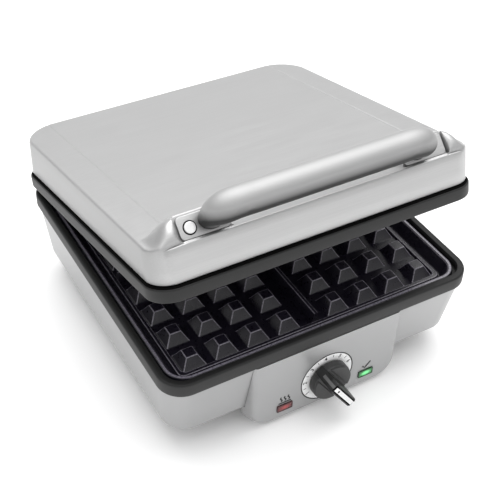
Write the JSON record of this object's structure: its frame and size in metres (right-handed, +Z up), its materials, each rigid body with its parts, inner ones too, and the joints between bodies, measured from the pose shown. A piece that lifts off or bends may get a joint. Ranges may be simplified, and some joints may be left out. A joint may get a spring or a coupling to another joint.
{
  "type": "waffle maker",
  "caption": "Countertop waffle maker with a hinged brushed-steel lid, square non-stick plates, bar handle, plate release buttons and a browning knob.",
  "frame": {"origin": "on the table top, at the middle of the overall width and depth with the lid at rest", "axes": "+X to the right seen from the front, +Y from the front to the hinge side, +Z up"},
  "size_m": [0.32, 0.3642, 0.262],
  "materials": {
    "silver_paint": "satin silver paint",
    "stainless": "fine brushed grain across the lid",
    "grip_metal": "satin",
    "trim_plastic": "fine matt, dark grey",
    "nonstick": "dark non-stick coating, low gloss",
    "black_plastic": "matt black",
    "rubber": "matt",
    "steel": "plain sheet and wire",
    "bright_metal": "polished",
    "dial_face": "pale satin ring with dark marks",
    "aluminised_sheet": "bright sheet",
    "heater_sheath": "heat-darkened sheath",
    "porcelain": "unglazed",
    "circuit_board": "resin board",
    "red_lens": "clear red",
    "green_lens": "clear green",
    "lamp_glass": "clear"
  },
  "bodies": {
    "base": {"base_housing": "silver_paint", "base_trim": "trim_plastic", "lower_plate": "nonstick", "lower_heater": "heater_sheath", "lower_reflector": "aluminised_sheet", "lower_thermal_fuse": "porcelain", "base_cover": "black_plastic", "foot_front_left": "rubber", "foot_rear_left": "rubber", "foot_front_right": "rubber", "foot_rear_right": "rubber", "cover_screw_front_left": "steel", "cover_screw_rear_left": "steel", "cover_screw_front_right": "steel", "cover_screw_rear_right": "steel", "cord_inlet": "black_plastic", "terminal_block": "porcelain", "control_panel": "silver_paint", "dial_scale": "dial_face", "red_lens": "red_lens", "green_lens": "green_lens", "red_lamp": "lamp_glass", "green_lamp": "lamp_glass", "lamp_board": "circuit_board", "thermostat": "porcelain", "thermostat_bracket": "steel", "hinge_bracket_left": "steel", "hinge_bracket_right": "steel", "hinge_pin_left": "steel", "hinge_pin_right": "steel", "lower_catch_guide": "steel"},
    "lid": {"lid_cover": "stainless", "lid_trim": "trim_plastic", "upper_plate": "nonstick", "upper_heater": "heater_sheath", "upper_reflector": "aluminised_sheet", "upper_thermal_fuse": "porcelain", "hinge_arm_left": "steel", "hinge_arm_right": "steel", "handle_grip": "grip_metal", "handle_end_left": "bright_metal", "handle_end_right": "bright_metal", "handle_screw_left": "steel", "handle_screw_right": "steel", "upper_catch_guide": "steel"},
    "knob": {"knob": "black_plastic", "knob_insert": "bright_metal", "thermostat_shaft": "steel"},
    "upper_release": {"upper_release_button": "bright_metal", "upper_catch": "steel", "upper_catch_spring": "steel"},
    "lower_release": {"lower_release_button": "bright_metal", "lower_catch": "steel", "lower_catch_spring": "steel"}
  },
  "joints": [
    {"name": "lid_hinge", "type": "hinge", "parent": "base", "child": "lid", "pos_m": [0, 0.16497, 0.07885], "axis": [-1, 0, 0], "range_deg": [-14.63, 80.4]},
    {"name": "knob_turn", "type": "hinge", "parent": "base", "child": "knob", "pos_m": [0, -0.15383, 0.036], "axis": [0, 1, 0], "range_deg": [-90, 160]},
    {"name": "upper_release_press", "type": "slide", "parent": "lid", "child": "upper_release", "axis": [0, 0.6867, -0.7269], "range_m": [0, 0.0025], "stiffness_N_per_m": 1200, "springref_m": -0.0015},
    {"name": "lower_release_press", "type": "slide", "parent": "base", "child": "lower_release", "axis": [-1, 0, 0], "range_m": [0, 0.0025], "stiffness_N_per_m": 1200, "springref_m": -0.0015}
  ]
}
